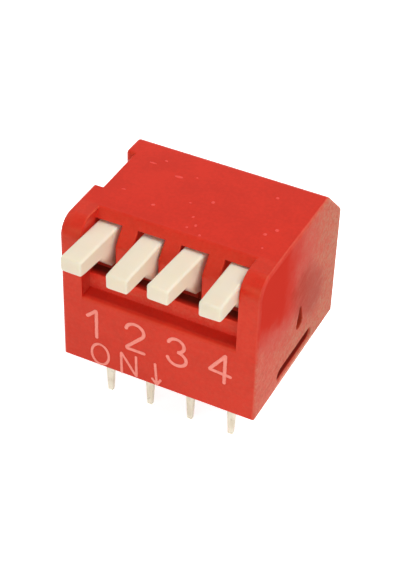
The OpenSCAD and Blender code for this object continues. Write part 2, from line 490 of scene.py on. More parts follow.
@dataclass(frozen=True)
class CoverPlastic:
    """The cover's red plastic, with a pale film and a darker smear on its ends, and painted light.

    The roof is clean. The front and the wall of the recess are a little paler, as painted
    reflection, and the wall's paleness fades upwards as painted shade under the keys. Each end
    is a paler red than the roof, painted reflection in place of its specular, and carries a
    mottled film that grows towards its back and its foot, with a darker smear across the middle
    of it. The film is rougher, and its pale colour is painted reflection. Painted highlights run
    along each end's rounded edges and on the lower lip of each window, and the front of each
    foot is paler. The floors of the key slots, the deep part of each window and the gate mark's
    hollow carry painted shade, and the faces inside carry a painted glow. All places are in
    millimetres in the part's own frame. The cloud's two noises and the drift are a size in
    millimetres, a detail and a roughness.
    """

    name: str = "cover_red"
    clean: Triple = (0.715, 0.0235, 0.0125)
    deep: Triple = (0.640, 0.0190, 0.0100)
    # Each end's red is paler than the roof's: painted reflection, which stands in for the specular that
    # the ends leave out.
    end_red_with_reflection: Triple = (0.705, 0.0440, 0.0270)
    # Painted reflection colours of the film: paler at the back, pinker at the front.
    reflection_back: Triple = (0.220, 0.780, 0.470)
    reflection_front: Triple = (0.760, 0.560, 0.360)
    # Painted highlight colour, a pale pink.
    painted_highlight: Triple = (0.980, 0.560, 0.430)
    # A dull dark red: for the smear and the mottle, and as painted shade in the gate mark's hollow.
    smear_and_shade: Triple = (0.400, 0.040, 0.018)
    # Painted shade colour for the deep part of each window.
    window_shade: Triple = (0.220, 0.016, 0.010)
    # Painted shade colour for the floors of the key slots, under the keys.
    slot_floor_shade: Triple = (0.150, 0.014, 0.008)

    cloud_broad: Triple = (2.2, 4.0, 0.6)
    cloud_fine: Triple = (0.20, 2.0, 0.6)
    cloud_span: Pair = (0.36, 0.64)
    fine_share: float = 0.4
    drift: Triple = (1.2, 4.0, 0.6)
    front_share: float = 0.025
    recess_share: float = 0.070
    edge_highlight_share: float = 0.09
    lip_highlight_share: float = 0.36
    end_share: float = 0.20
    left_share: float = 0.5
    smear_share: float = 0.60
    smear_thins_film: float = 0.62
    sheen_clean: float = 0.24
    sheen_film: float = 0.038
    sheen_tint: Triple = (1.0, 0.92, 0.42)
    gloss_clean: float = 0.32
    gloss_film: float = 0.52
    grain_mm: float = 0.07
    grain_depth_mm: float = 0.0018
    sink_depth_mm: float = 0.010

    speckle: Pattern = Pattern(0.16, 3.0, 0.7, 0.30, 0.75, 0.55, 1.42)
    blotch: Pattern = Pattern(0.5, 3.0, 0.6, 0.30, 0.70, 0.84, 1.14)
    mottle: Pattern = Pattern(0.26, 3.0, 0.65, 0.50, 0.70, 0.0, 0.32)
    highlight_breakup: Pattern = Pattern(0.7, 3.0, 0.6, 0.30, 0.70, 0.45, 1.15)

    end_mm: Pair = (5.70, 5.80)
    window_skin_mm: float = 0.05
    skin: Side = Side(OUT, 5.66, 5.72)
    right: Side = Side(X, -1.0, 1.0)
    front: Side = Side(Y, -5.42, -5.50)
    recess: Region = (Side(Y, -5.42, -5.32), Side(Y, -3.2, -3.4), Side(Z, 4.50, 4.72),
                      Side(OUT, 5.70, 5.60))
    # Painted shade: the recess wall's paleness fades upwards, where the keys shade it.
    recess_shade_fade: Four = (5.10, 5.60, 1.0, 0.22)
    back: Side = Side(Y, -2.6, 4.8)
    low: Side = Side((0.0, 0.35, 1.0), 4.65, 0.85)
    film_wander_mm: float = 2.4
    film_streak_mm: Pair = (1.1, 0.24)
    film_streak_tone: Four = (0.30, 0.70, 0.86, 1.14)
    reflection_tone: Side = Side((0.0, 1.0, 0.6), -3.0, 2.0)
    foot: Region = (Side(Z, 1.2, 0.1), Side(Y, 0.0, -3.0))
    round_mm: Pair = (-4.40, 8.15)
    round_rim: Four = (0.88, 0.99, 0.0, 0.5)
    smear_axes: tuple[tuple[Triple, float], ...] = (((0.0, 0.248, -0.238), 0.678),
                                                    ((0.0, 0.431, 0.450), -2.363))
    smear_drift: float = 1.4
    smear_streaks: float = 1.3
    smear_streak_mm: Pair = (2.4, 0.30)
    smear_edge: Pair = (1.6, 0.0)
    window_ends: Region = (Side(Y, -2.93, -2.83), Side(Y, 2.37, 2.27))
    window_top: Side = Side(Z, 1.30, 1.20)
    lip_top: Side = Side(Z, 0.27, 0.20)
    hollow: Region = (Side(OUT, 5.01, 5.06), Side(OUT, 5.71, 5.64), Side(Z, 0.12, 0.20))
    scar: Region = (Side(Y, -0.60, -0.55), Side(Y, 0.80, 0.75), Side(Z, 2.0, 2.05),
                    Side(Z, 4.15, 4.10), Side(X, 5.0, 5.1), Side(X, 5.82, 5.76))
    slot_floor: Region = (Side(Y, -4.56, -4.14), Side(Y, -2.4, -2.6), Side(Z, 5.45, 5.58),
                          Side(Z, 6.30, 5.70), Side(OUT, 5.1, 5.0))
    inside: Region = (Side(Y, -4.5, -3.7), Side(Y, 4.5, 4.3), Side(Z, 8.7, 8.5), Side(OUT, 5.1, 5.0),
                      Side((0.0, 1.0, 1.0), 11.4, 11.2), Side((0.0, 0.76, -0.65), -8.53, -7.83))

    def film_and_reflection_mask(self, g: Surface, drift: Socket) -> Socket:
        """Where the film and its painted reflection lie: 1 - (1 - back) * (1 - low), and less on the left
        end.

        Back grows with Y. Low grows towards the foot, most at the front corner.

        Args:
            g: The material's graph.
            drift: Slow noise about 0, by which both wander.

        Returns:
            0 to 1.
        """
        wander = g.times(drift, self.film_wander_mm)
        bare = g.times(g.rest(g.side(self.back, wander)), g.rest(g.side(self.low, wander)))
        handled = g.ramp(g.level(X), self.right.none_mm, self.right.full_mm, self.left_share, 1.0)
        return g.times(g.rest(bare), handled)

    def smear_mask(self, g: Surface, drift: Socket) -> Socket:
        """Where the dull smear lies on the right end.

        It is an ellipse that slopes down towards the back: the sum of the squares of the
        distances along and across it, broken up by the drift and by rubbing streaks.

        Args:
            g: The material's graph.
            drift: Slow noise about 0.

        Returns:
            0 to 1.
        """
        streaks = g.math("SUBTRACT", g.streaks(*self.smear_streak_mm), MID_GREY)
        reach = g.math("ADD", g.times(drift, self.smear_drift), g.times(streaks, self.smear_streaks))
        for heading, offset_mm in self.smear_axes:
            distance = g.math("ADD", g.level(heading), offset_mm)
            reach = g.math("ADD", reach, g.times(distance, distance))
        return g.times(g.ramp(reach, *self.smear_edge), g.side(self.right))

    def edge_highlight_mask(self, g: Surface) -> Socket:
        """The painted highlight along each end's top and front edges, and the paler band along its foot.

        The edges are found by the distance from the middle of the corner's round, which
        only counts ahead of it and above it.

        Args:
            g: The material's graph.

        Returns:
            0 to 1.
        """
        middle_y, middle_z = self.round_mm
        ahead = g.math("MINIMUM", g.math("SUBTRACT", g.level(Y), middle_y), 0.0)
        above = g.math("MAXIMUM", g.math("SUBTRACT", g.level(Z), middle_z), 0.0)
        distance = g.math("SQRT", g.math("ADD", g.times(ahead, ahead), g.times(above, above)))
        edge = g.ramp(distance, *self.round_rim)
        return g.times(g.side(self.skin), g.math("MAXIMUM", edge, g.region(*self.foot)))

    def masks(self, g: Surface) -> dict[str, Socket]:
        """Works out where each kind of mark lies.

        Args:
            g: The material's graph.

        Returns:
            The masks named end, front, recess, film, smear, rim, lip, scar, hollow, floor and
            inside, each from 0 to 1.
        """
        drift = g.math("SUBTRACT", g.noise(*self.drift), MID_GREY)
        window = g.region(*self.window_ends, self.window_top)
        skin = g.math("ADD", g.level(OUT), g.times(window, self.window_skin_mm))
        floor = g.region(*self.slot_floor)
        return {
            "end": g.ramp(skin, *self.end_mm),
            "front": g.side(self.front),
            "recess": g.times(g.region(*self.recess), g.ramp(g.level(Z), *self.recess_shade_fade)),
            "film": self.film_and_reflection_mask(g, drift),
            "smear": self.smear_mask(g, drift),
            "rim": self.edge_highlight_mask(g),
            "lip": g.region(*self.window_ends, self.lip_top, self.skin),
            "scar": g.region(*self.scar),
            "hollow": g.times(window, g.region(*self.hollow)),
            "floor": floor,
            "inside": g.times(g.region(*self.inside), g.rest(floor)),
        }

    def build(self) -> Material:
        """Makes the material: the body's red, then each kind of mark laid over it in turn.

        Returns:
            The finished material.
        """
        g = Surface(self.name)
        mask = self.masks(g)
        broad, fine = g.noise(*self.cloud_broad), g.noise(*self.cloud_fine)
        cloud = g.math("ADD", g.times(broad, 1.0 - self.fine_share), g.times(fine, self.fine_share))
        tint = g.blend(g.ramp(cloud, *self.cloud_span), self.deep, self.clean)
        smear = g.times(mask["end"], mask["smear"])
        film = g.times(mask["end"], mask["film"], g.rest(g.times(smear, self.smear_thins_film)))
        # Painted reflection: a paler front and recess wall, and the pale share of the film on the ends.
        thin = g.math("MAXIMUM", g.times(mask["front"], self.front_share),
                      g.times(mask["recess"], self.recess_share))
        pale_reflection_share = g.math("MAXIMUM", g.times(film, self.end_share), thin)
        speckle = g.times(g.pattern(self.speckle), g.pattern(self.blotch),
                          g.ramp(g.streaks(*self.film_streak_mm), *self.film_streak_tone))
        # Painted highlight along the ends' rounded edges and on the lower lip of each window, and a paler
        # band towards the front of each foot.
        painted_highlight = g.math("MAXIMUM", g.times(mask["rim"], self.edge_highlight_share, g.pattern(self.highlight_breakup)),
                        g.times(mask["lip"], self.lip_highlight_share))
        layers = (
            (mask["end"], self.end_red_with_reflection),
            (g.times(smear, self.smear_share), self.smear_and_shade),
            # Painted reflection: the film's pale colour.
            (g.times(pale_reflection_share, speckle), g.blend(g.side(self.reflection_tone), self.reflection_front, self.reflection_back)),
            (g.times(g.pattern(self.mottle), film), self.smear_and_shade),
            (painted_highlight, self.painted_highlight),
            # Painted shade in the hollow of the gate mark.
            (mask["scar"], self.smear_and_shade),
            # Painted shade on the floors of the key slots, under the keys.
            (mask["floor"], self.slot_floor_shade),
            # Painted shade in the deep part of each window.
            (mask["hollow"], self.window_shade),
        )
        for share, colour in layers:
            tint = g.blend(share, tint, colour)
        # The ends take no clean specular; their paler red paints that reflection in.
        sheen = g.ramp(mask["end"], 0.0, 1.0, self.sheen_clean, 0.0)
        g.fill(g.shader, {
            "Base Color": tint,
            "Roughness": g.ramp(film, 0.0, 1.0, self.gloss_clean, self.gloss_film),
            "Specular IOR Level": g.math("ADD", sheen, g.times(film, self.sheen_film)),
            "Specular Tint": self.sheen_tint,
            # Painted glow on the faces inside the cover.
            "Emission Strength": g.times(mask["inside"], PAINTED_GLOW_STRENGTH),
            "Emission Color": PAINTED_GLOW_RED,
            "Normal": g.moulded(self.sink_depth_mm, self.grain_mm, self.grain_depth_mm),
        })
        return g.material


@dataclass(frozen=True)
class Plated:
    """Plated sheet metal: rolled grain along the strip, duller patches and spots of tarnish."""

    name: str
    colour: Triple
    dull: Triple
    roughness: float
    grain_mm: Triple
    grain_depth_mm: float
    spotted: float = 0.0
    tarnish: Triple = (0.30, 0.26, 0.20)
    spot: Pattern = Pattern(0.20, 2.0, 0.6, 0.64, 0.72)
    patch_mm: Triple = (0.5, 0.5, 0.9)
    dull_span: Pair = (0.35, 0.65)
    gloss_span: Pair = (0.30, 0.70)
    smoother: float = 0.06
    rougher: float = 0.10

    def build(self) -> Material:
        """Makes the material.

        Returns:
            The finished material.
        """
        g = Surface(self.name)
        patch = g.noise(self.patch_mm, *GRAIN)
        tint = g.blend(g.ramp(patch, *self.dull_span), self.colour, self.dull)
        spot = g.times(g.pattern(self.spot), self.spotted)
        least, most = self.roughness - self.smoother, self.roughness + self.rougher
        g.fill(g.shader, {
            "Base Color": g.blend(spot, tint, self.tarnish),
            "Roughness": g.ramp(patch, *self.gloss_span, least, most),
            "Normal": g.bump(g.noise(self.grain_mm, 2.0), self.grain_depth_mm),
            "Metallic": 1.0,
        })
        return g.material


@dataclass(frozen=True)
class Ink:
    """Thin printed ink that lets a little of the plastic under it show through."""

    name: str
    colour: Triple
    under: Triple
    roughness: float
    patch: Triple = (0.16, 3.0, 0.65)
    thin_span: Four = (0.42, 0.78, 0.0, 0.55)
    gloss_span: Pair = (0.3, 0.7)
    rougher: float = 0.12

    def build(self) -> Material:
        """Makes the material.

        Returns:
            The finished material.
        """
        g = Surface(self.name)
        thin = g.noise(*self.patch)
        most = self.roughness + self.rougher
        g.fill(g.shader, {
            "Base Color": g.blend(g.ramp(thin, *self.thin_span), self.colour, self.under),
            "Roughness": g.ramp(thin, *self.gloss_span, self.roughness, most),
        })
        return g.material


COVER_RED = CoverPlastic()
# The base's red is darker than the cover's, as painted shade for where it lies behind the windows, and it
# carries a painted glow above its lowest millimetre.
BASE_RED_SHADED = Moulded("base_red_shaded_plastic", (0.340, 0.014, 0.008), (0.42, 0.05, 0.03), (0.290, 0.011, 0.006),
                   roughness=0.42, grain_depth_mm=0.0018, specular=0.25, through=PAINTED_GLOW_STRENGTH)
# Painted light and shade on the keys: a paler, warmer cream where each key runs into its slot, against
# the shade there, and a darker brown down the neck under the nose.
SLOT_MOUTH_PAINTED_LIGHT = (Side(Y, -3.95, -3.70), (0.930, 0.790, 0.690))
KEY_NECK_PAINTED_SHADE = (Side(Z, 7.75, 6.70), (0.480, 0.320, 0.240))
KEY_CREAM = Moulded("key_cream", (0.885, 0.790, 0.625), (0.93, 0.87, 0.75), (0.860, 0.765, 0.600),
                    roughness=0.44, grain_depth_mm=0.0012, specular=0.28, glow=0.60,
                    painted_light=(SLOT_MOUTH_PAINTED_LIGHT, KEY_NECK_PAINTED_SHADE))
TIN_PLATE = Plated("tin_plate", (0.70, 0.67, 0.55), (0.60, 0.55, 0.43), roughness=0.38,
                   grain_mm=(0.05, 0.05, 0.6), grain_depth_mm=0.0012, spotted=0.55)
GOLD_FLASH = Plated("gold_flash", (0.86, 0.64, 0.28), (0.72, 0.52, 0.24), roughness=0.28,
                    grain_mm=(0.4, 0.04, 0.04), grain_depth_mm=0.0008)
LEGEND_PINK = Ink("legend_pink", (0.97, 0.30, 0.23), (0.86, 0.17, 0.12), roughness=0.50)
SPECK_PINK = Ink("speck_pink", (0.84, 0.055, 0.036), (0.77, 0.034, 0.021), roughness=0.45)


# ---------------------------------------------------------------- meshes worked out with numpy

CAP_STEPS = 7
DOME_STEPS = 9
FOOT_SHARES = (0.6, 0.0, -0.6)
WAVES = (9.0, 23.0)
DOUBLE = 2e-7


def grid_quads(rows: int, columns: int) -> Faces:
    """Faces of a grid whose columns close into a ring.

    Point (r, c) has the number r * columns + c. Each face joins (r, c) and (r, c + 1) to
    the same two columns of the next row, with c + 1 taken round the ring.

    Args:
        rows: Number of rings.
        columns: Number of points in each ring.

    Returns:
        One row of four point numbers for each face.
    """
    r, c = np.meshgrid(np.arange(rows - 1), np.arange(columns), indexing="ij")
    onward = (c + 1) % columns
    quads = np.stack([r * columns + c, (r + 1) * columns + c,
                      (r + 1) * columns + onward, r * columns + onward], axis=-1)
    return quads.reshape(-1, 4)


def linked(name: str, data: ID) -> Object:
    """Makes an object and links it to the scene.

    Args:
        name: The object's name.
        data: Its mesh, lamp or camera.

    Returns:
        The object.
    """
    made = bpy.data.objects.new(name, data)
    bpy.context.scene.collection.objects.link(made)
    return made


def mesh_object(name: str, points: Points, faces: Faces, finish: Material) -> Object:
    """Makes a smooth object at the origin from arrays, with doubles merged and faces outwards.

    Args:
        name: The new object's name.
        points: One row of X, Y and Z for each point, in metres.
        faces: One row of point numbers for each face.
        finish: Its material.

    Returns:
        The new object.
    """
    mesh = bpy.data.meshes.new(name)
    mesh.from_pydata(points.tolist(), [], faces.tolist())
    shell = bmesh.new()
    shell.from_mesh(mesh)
    bmesh.ops.remove_doubles(shell, verts=shell.verts, dist=DOUBLE / 2)
    bmesh.ops.recalc_face_normals(shell, faces=shell.faces)
    shell.to_mesh(mesh)
    shell.free()
    mesh.polygons.foreach_set("use_smooth", np.ones(len(mesh.polygons), bool))
    mesh.materials.append(finish)
    return linked(name, mesh)


def arc(centre: Pair, radii: Pair, start_deg: float, end_deg: float, steps: int = 24) -> Points:
    """Points along part of an ellipse.

    The point at angle a is the centre plus the first radius times cos a along X and the
    second radius times sin a along Z.

    Args:
        centre: The ellipse's centre.
        radii: Its half width and half height.
        start_deg: The first point's angle, counted from +X towards +Z.
        end_deg: The last point's angle.
        steps: Number of points.

    Returns:
        One row of X and Z for each point.
    """
    angle = np.radians(np.linspace(start_deg, end_deg, steps))
    return np.column_stack([centre[0] + radii[0] * np.cos(angle),
                            centre[1] + radii[1] * np.sin(angle)])


def line(*places: Pair) -> Points:
    """Points at the given corners, as an array.

    Args:
        places: Each corner's X and Z.

    Returns:
        One row for each corner.
    """
    return np.array(places, float)


def evened(path: Points, step: float, passes: int) -> Points:
    """Spaces a path's points evenly, then eases its corners.

    Each new point is found by its distance along the path, by straight interpolation. Each
    pass then moves every inner point halfway to the mean of its two neighbours.

    Args:
        path: The path's points.
        step: The wanted spacing.
        passes: How many times the corners are eased.

    Returns:
        The new points, with both ends kept.
    """
    lengths = np.linalg.norm(np.diff(path, axis=0), axis=1)
    travelled = np.concatenate([[0.0], np.cumsum(lengths)])
    wanted = np.linspace(0.0, travelled[-1], max(3, int(round(travelled[-1] / step)) + 1))
    out = np.column_stack([np.interp(wanted, travelled, path[:, k]) for k in range(path.shape[1])])
    for _ in range(passes):
        out[1:-1] = 0.25 * out[:-2] + 0.5 * out[1:-1] + 0.25 * out[2:]
    return out


def printed_stroke(path: Points, width: float, height: float,
                   wobble: float, seed: int) -> tuple[Points, Faces]:
    """A raised stroke of ink with round ends, as a low ridge swept along a path.

    The cross-section is a low dome: at share u across the stroke, from -1 to 1, it stands
    height times (1 - u to the fourth) above its foot. Its half width is half the pen's, and
    within that distance of either end it follows a circle, so the end is round. A slow
    sine of a seeded phase makes the edge waver as ink does.

    Args:
        path: Evenly spaced X and Z points along the middle of the stroke.
        width: The pen's width.
        height: How far the ink stands out.
        wobble: The share of the width that the edge wavers by.
        seed: Seed for the wavering.

    Returns:
        The points, as X, distance out from the surface and Z, and the faces.
    """
    phase = np.random.default_rng(seed).uniform(0.0, 2 * np.pi, 3)
    half = width / 2
    cap = half * np.sin(np.linspace(-np.pi / 2, 0.0, CAP_STEPS)[:-1])
    first = (path[1] - path[0]) / np.linalg.norm(path[1] - path[0])
    last = (path[-1] - path[-2]) / np.linalg.norm(path[-1] - path[-2])
    middle = np.vstack([path[0] + np.outer(cap, first), path,
                        path[-1] - np.outer(cap[::-1], last)])
    tangent = np.gradient(middle, axis=0)
    tangent /= np.linalg.norm(tangent, axis=1, keepdims=True)
    across = np.column_stack([-tangent[:, 1], tangent[:, 0]])
    reach = np.full(len(middle), half)
    reach[:len(cap)] = np.sqrt(np.maximum(half ** 2 - cap ** 2, 0.0))
    reach[-len(cap):] = reach[:len(cap)][::-1]
    along = np.linspace(0.0, 1.0, len(middle))
    waver = sum(np.sin(n * along * np.pi + start) for n, start in zip(WAVES, phase))
    reach = reach * (1.0 + wobble * waver)
    dome = np.linspace(-1.0, 1.0, DOME_STEPS)
    u = np.concatenate([dome, FOOT_SHARES])
    out = np.concatenate([height * (1.0 - dome ** 4), np.zeros(len(FOOT_SHARES))])
    flat = middle[:, None, :] + across[:, None, :] * (reach[:, None] * u[None, :])[..., None]
    rise = np.broadcast_to(out, (len(middle), len(u)))
    points = np.stack([flat[..., 0], rise, flat[..., 1]], axis=-1).reshape(-1, 3)
    return points, grid_quads(len(middle), len(u))


def merged(parts: list[tuple[Points, Faces]]) -> tuple[Points, Faces]:
    """Joins several meshes into one pair of arrays.

    Args:
        parts: The points and the faces of each mesh.

    Returns:
        All points, and all faces with their numbers moved on past the earlier points.
    """
    counts = np.cumsum([0] + [len(points) for points, _ in parts])
    faces = [quads + start for (_, quads), start in zip(parts, counts)]
    return np.vstack([points for points, _ in parts]), np.vstack(faces)


# ---------------------------------------------------------------- moulded pieces

FAR = 99.0
FLAT_DEG = 0.4
LEAST_WIDTH = 1e-9
EVERYWHERE = ((-FAR,) * 3, (FAR,) * 3)


@dataclass(frozen=True)
class EdgeZone:
    """A box, in millimetres, whose sharp edges are rounded to one width."""

    low_mm: Triple
    high_mm: Triple
    width_mm: float


def mesh_points(mesh: Mesh) -> Points:
    """Reads a mesh's points.

    Args:
        mesh: The mesh.

    Returns:
        One row of X, Y and Z for each point.
    """
    places = np.empty(len(mesh.vertices) * 3)
    mesh.vertices.foreach_get("co", places)
    return places.reshape(-1, 3)


def turns(mesh: Mesh) -> NDArray[np.float64]:
    """How far the two faces at each edge turn, outer edges positive and inner ones negative.

    Args:
        mesh: The mesh.

    Returns:
        One angle for each edge, in radians.
    """
    shell = bmesh.new()
    shell.from_mesh(mesh)
    turn = np.array([e.calc_face_angle_signed(0.0) for e in shell.edges])
    shell.free()
    return turn


@dataclass
class RoundedNode:
    """A copy of one of the frame's nodes with its moulded edges rounded."""

    node: str
    body: str
    slot: Slot
    finish: Material
    zones: tuple[EdgeZone, ...]
    segments: int = 3
    sharp_deg: float = 30.0
    crease_deg: float = 38.0

    def copy(self) -> Object:
        """Copies the node's mesh, merges its doubles and joins its flat faces.

        Returns:
            The copy, at the origin and linked to the scene.
        """
        source = frame["nodes"][self.node]
        mesh = source.data.copy()
        mesh.name = f"{self.node}_moulding"
        mesh.materials.clear()
        shell = bmesh.new()
        shell.from_mesh(mesh)
        bmesh.ops.remove_doubles(shell, verts=shell.verts, dist=DOUBLE)
        bmesh.ops.dissolve_limit(shell, angle_limit=math.radians(FLAT_DEG), verts=shell.verts,
                                 edges=shell.edges, delimit=set())
        shell.to_mesh(mesh)
        shell.free()
        return linked(mesh.name, mesh)

    def edge_widths(self, mesh: Mesh) -> NDArray[np.float64]:
        """Finds how far each edge is rounded.

        Outer edges whose two faces turn by more than the limit take the width of the last
        zone that holds their middle. Other edges and inner corners take none.

        Args:
            mesh: The copied mesh.

        Returns:
            Each edge's width in metres.
        """
        ends = np.empty(len(mesh.edges) * 2, np.int64)
        mesh.edges.foreach_get("vertices", ends)
        middle = mesh_points(mesh)[ends.reshape(-1, 2)].mean(axis=1) / MM
        width = np.zeros(len(middle))
        for zone in self.zones:
            inside = np.all((middle >= zone.low_mm) & (middle <= zone.high_mm), axis=1)
            width = np.where(inside, zone.width_mm * MM, width)
        return np.where(turns(mesh) > math.radians(self.sharp_deg), width, 0.0)

    def rounded(self, made: Object) -> Mesh:
        """Rounds the copy's outer edges and keeps the corners that are still sharp.

        Args:
            made: The copy.

        Returns:
            The rounded mesh, which is the copy's mesh from now on.
        """
        mesh = made.data
        width = self.edge_widths(mesh)
        widest = max(width.max(), LEAST_WIDTH)
        weights = mesh.attributes.new("bevel_weight_edge", "FLOAT", "EDGE")
        weights.data.foreach_set("value", width / widest)
        rounding = made.modifiers.new("rounding", "BEVEL")
        rounding.limit_method = "WEIGHT"
        rounding.width = widest
        rounding.segments = self.segments
        rounding.use_clamp_overlap = False
        rounding.miter_outer = "MITER_ARC"
        bpy.context.view_layer.update()
        seen = made.evaluated_get(bpy.context.evaluated_depsgraph_get())
        made.data = bpy.data.meshes.new_from_object(seen)
        made.data.name = made.name
        made.modifiers.clear()
        bpy.data.meshes.remove(mesh)
        return made.data

    def dress(self) -> Object:
        """Makes the rounded copy, gives it its finish and puts it in the node's place.

        Returns:
            The finished piece.
        """
        made = self.copy()
        mesh = self.rounded(made)
        mesh.polygons.foreach_set("use_smooth", np.ones(len(mesh.polygons), bool))
        creases = mesh.attributes.get("sharp_edge")
        if creases is None:
            creases = mesh.attributes.new("sharp_edge", "BOOLEAN", "EDGE")
        creases.data.foreach_set("value", np.abs(turns(mesh)) > math.radians(self.crease_deg))
        mesh.materials.append(self.finish)
        flats = made.modifiers.new("flats", "WEIGHTED_NORMAL")
        flats.mode = "FACE_AREA"
        flats.weight = 100
        flats.keep_sharp = True
        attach(made, self.body)
        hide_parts(self.node)
        LOG.info("%s: %d faces, on %s", made.name, len(mesh.polygons), self.body)
        return made


@dataclass
class Casing:
    """The cover and the base that closes it."""

    recess_depth_mm: float = 0.90
    slope_run_mm: float = 1.15
    cheek_mm: float = 1.25
    recess_drop_mm: float = 4.65
    outer_mm: float = 0.17
    recess_mm: float = 0.10
    slot_lip_mm: float = 0.30
    slope_mm: float = 0.13
    window_mm: float = 0.06
    window_box: Four = (-2.70, 0.20, 2.20, 1.20)
    scar_mm: float = 0.03
    scar_box: Four = (-0.40, 2.20, 0.65, 3.95)
    foot_mm: float = 0.06
    skin_mm: float = 0.02
    lip_side_mm: float = 0.05
    lip_top_mm: float = 1.05

    def cover_zones(self) -> tuple[EdgeZone, ...]:
        """The cover's rounding: outer edges first, then the finer edges inside them.

        Returns:
            The zones, in the order in which they take over from each other.
        """
        (x0, y0, z0), (x1, y1, z1) = ([v / MM for v in corner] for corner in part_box("housing"))
        ledge = z1 - self.recess_drop_mm
        recess_x = x1 - self.cheek_mm
        wall = y0 + self.recess_depth_mm
        edge = wall + self.slope_run_mm
        skin, rim, scar = self.skin_mm, self.window_box, self.scar_box
        return (
            EdgeZone(*EVERYWHERE, self.outer_mm),
            EdgeZone((x0 - 1, y0 - 1, z0 - 1), (x1 + 1, y1 + 1, z0 + skin), self.foot_mm),
            EdgeZone((x0 + skin, y0 + skin, z0 - 1), (x1 - skin, y1 - skin, z1 - skin), 0.0),
            EdgeZone((x0 - 1, y0 - 1, z0 + skin), (x1 + 1, y0 + skin, z1 + 1), self.outer_mm),
            EdgeZone((-recess_x - skin, y0 - 1, ledge - skin),
                     (recess_x + skin, edge - skin, z1 + 1), self.recess_mm),
            EdgeZone((-recess_x - self.lip_side_mm, wall + self.slot_lip_mm, ledge + skin),
                     (recess_x + self.lip_side_mm, edge - skin, z1 - self.lip_top_mm), 0.0),
            EdgeZone((-recess_x, edge - skin, z1 - skin),
                     (recess_x, edge + skin, z1 + skin), self.slope_mm),
            EdgeZone((x0 - 1, *rim[:2]), (x1 + 1, *rim[2:]), self.window_mm),
            EdgeZone((x1 - skin, *scar[:2]), (x1 + 1, *scar[2:]), self.scar_mm),
        )

    def build(self) -> list[Object]:
        """Makes the cover and the base.

        Returns:
            Both pieces.
        """
        cover = RoundedNode("housing", "case", Slot.COVER, COVER_RED.build(), self.cover_zones())
        base = RoundedNode("base", "case", Slot.BASE, BASE_RED_SHADED.build(),
                           (EdgeZone(*EVERYWHERE, 0.0),))
        return [cover.dress(), base.dress()]


# ---------------------------------------------------------------- keys


@dataclass(frozen=True)
class Seating:
    """How one loose key sits in its bearing: within the play of its slot."""

    aside_mm: float
    turn_deg: float
    lift_deg: float


@dataclass
class Keys:
    """The four piano keys and the wipers that they carry."""

    edge_mm: float = 0.15
    hidden_mm: float = 0.04
    nose_y_mm: float = -3.2
    nose_z_mm: float = 6.3
    seatings: dict[Way, Seating] = field(default_factory=lambda: {
        Way.ONE: Seating(0.0, -1.0, -0.1),
        Way.TWO: Seating(0.045, 0.0, -1.1),
        Way.THREE: Seating(0.0, -1.8, 0.5),
        Way.FOUR: Seating(0.03, 1.6, 1.1),
    })

    def settle(self, piece: Object, way: Way) -> None:
        """Turns and shifts a key's mesh about its pivot by its own small play.

        A point's place is the pivot, plus its distance from the pivot turned by the lift
        about X and then by the turn about Z, plus the shift along X.

        Args:
            piece: The key's rounded copy.
            way: The key's way.
        """
        seat = self.seatings[way]
        turn = Matrix.Rotation(math.radians(seat.turn_deg), 3, "Z")
        lift = Matrix.Rotation(math.radians(-seat.lift_deg), 3, "X")
        spin = np.array(turn @ lift)
        joint = next(j for j in frame["joints"] if j["child"] == way.named("rocker"))
        pivot = np.array(joint["pos_m"], float)
        moved = (mesh_points(piece.data) - pivot) @ spin.T + pivot
        moved[:, 0] += seat.aside_mm * MM
        piece.data.vertices.foreach_set("co", moved.ravel())
        piece.data.update()

    def build(self) -> list[Object]:
        """Makes the four keys and gives the wipers their finish.

        Returns:
            The keys.
        """
        cream = KEY_CREAM.build()
        gold = GOLD_FLASH.build()
        zones = (EdgeZone(*EVERYWHERE, self.hidden_mm),
                 EdgeZone((-FAR, -FAR, self.nose_z_mm), (FAR, self.nose_y_mm, FAR), self.edge_mm))
        made = []
        for way in Way:
            piece = RoundedNode(way.named("key"), way.named("rocker"), Slot.KEY, cream, zones).dress()
            self.settle(piece, way)
            made.append(piece)
            wiper = frame["nodes"][way.named("wiper")].data
            wiper.materials.clear()
            wiper.materials.append(gold)
            LOG.info("%s: finished as %s", way.named("wiper"), gold.name)
        return made


# ---------------------------------------------------------------- terminals


@dataclass
class Terminals:
    """The eight bent terminals, whose pins stand below the base."""

    edge_mm: float = 0.035
    top_mm: float = -0.05

    def build(self) -> list[Object]:
        """Makes the rounded terminals.

        Returns:
            The eight pieces.
        """
        tin = TIN_PLATE.build()
        zones = (EdgeZone(EVERYWHERE[0], (FAR, FAR, self.top_mm), self.edge_mm),)
        return [RoundedNode(way.named(f"{row}_terminal"), "case", Slot.TERMINAL, tin, zones,
                            segments=2, sharp_deg=5.0).dress()
                for row in ("front", "rear") for way in Way]


# ---------------------------------------------------------------- printed legend


